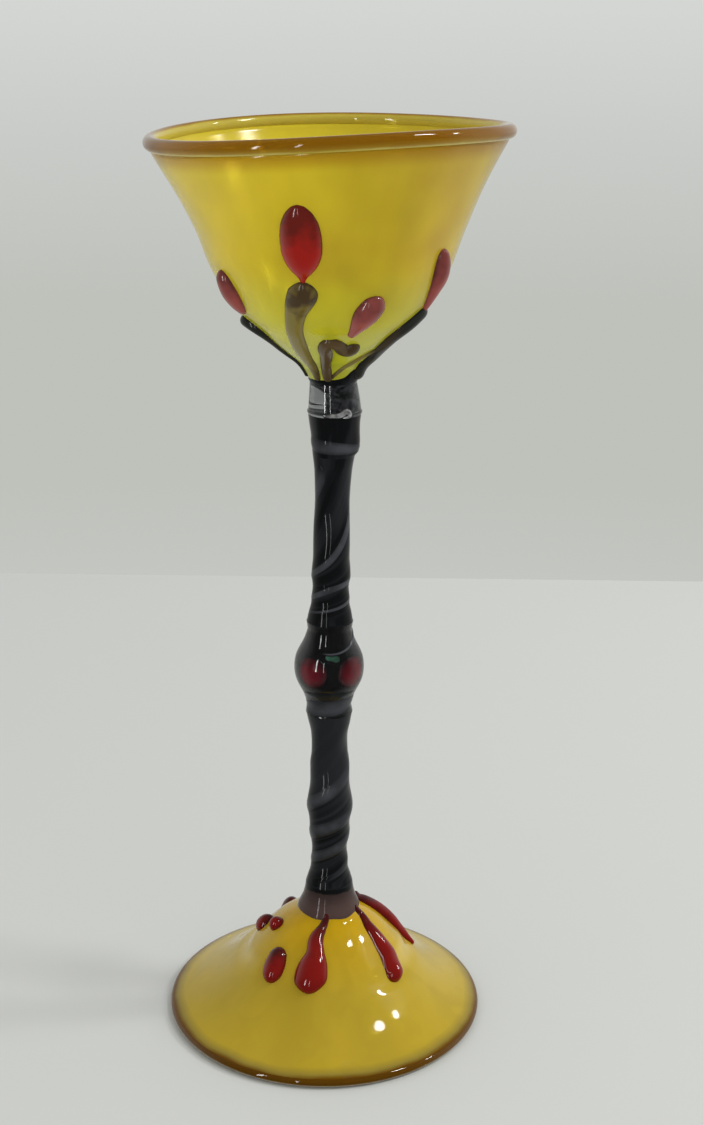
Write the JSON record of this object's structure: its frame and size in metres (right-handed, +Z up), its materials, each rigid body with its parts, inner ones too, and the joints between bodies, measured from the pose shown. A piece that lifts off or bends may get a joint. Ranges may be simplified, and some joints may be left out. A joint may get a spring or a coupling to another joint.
{
  "type": "drinking glass",
  "caption": "Hand-made wine glass with a flared opal bowl, wrapped lip, applied buds and stalks, a dark twisted stem with a cased knop, and a domed hollow foot with drips.",
  "frame": {"origin": "middle of the foot's contact ring, on the table", "axes": "+Z up along the stem, -Y towards the side with the large bud, +X towards the raised side of the lip"},
  "size_m": [0.086, 0.086, 0.2316],
  "materials": {
    "yellow_bowl_glass": "polished opal",
    "amber_foot_glass": "polished opal",
    "brown_wrap_glass": "polished",
    "dark_stem_glass": "polished",
    "grey_trail_glass": "polished",
    "clear_casing_glass": "polished clear",
    "red_bud_glass": "polished",
    "green_leaf_glass": "polished",
    "brown_stalk_glass": "polished",
    "red_drip_glass": "polished"
  },
  "bodies": {
    "root": {"foot": "amber_foot_glass", "foot_edge_wrap": "brown_wrap_glass", "foot_collar": "dark_stem_glass", "lower_stem": "dark_stem_glass", "lower_stem_trail_1": "grey_trail_glass", "lower_stem_trail_2": "grey_trail_glass", "knop_core": "dark_stem_glass", "knop_sleeve": "clear_casing_glass", "knop_berry_1": "red_bud_glass", "knop_berry_2": "red_bud_glass", "knop_berry_3": "red_bud_glass", "knop_berry_4": "red_bud_glass", "knop_leaf_1": "green_leaf_glass", "knop_leaf_2": "green_leaf_glass", "upper_stem": "dark_stem_glass", "upper_stem_trail_1": "grey_trail_glass", "upper_stem_trail_2": "grey_trail_glass", "stem_knuckle": "dark_stem_glass", "neck_collar": "clear_casing_glass", "bowl": "yellow_bowl_glass", "lip_wrap": "brown_wrap_glass", "bowl_bud_1": "red_bud_glass", "bowl_bud_2": "red_bud_glass", "bowl_bud_3": "red_bud_glass", "bowl_bud_4": "red_bud_glass", "bowl_bud_5": "red_bud_glass", "bowl_bud_6": "red_bud_glass", "bowl_stalk_1": "brown_stalk_glass", "bowl_stalk_2": "brown_stalk_glass", "bowl_stalk_3": "brown_stalk_glass", "bowl_stalk_4": "brown_stalk_glass", "bowl_stalk_5": "brown_stalk_glass", "bowl_stalk_6": "brown_stalk_glass", "foot_drip_1": "red_drip_glass", "foot_drip_2": "red_drip_glass", "foot_drip_3": "red_drip_glass", "foot_drip_4": "red_drip_glass", "foot_drip_5": "red_drip_glass", "foot_drip_6": "red_drip_glass", "foot_drip_7": "red_drip_glass", "foot_drip_8": "red_drip_glass"}
  },
  "joints": []
}
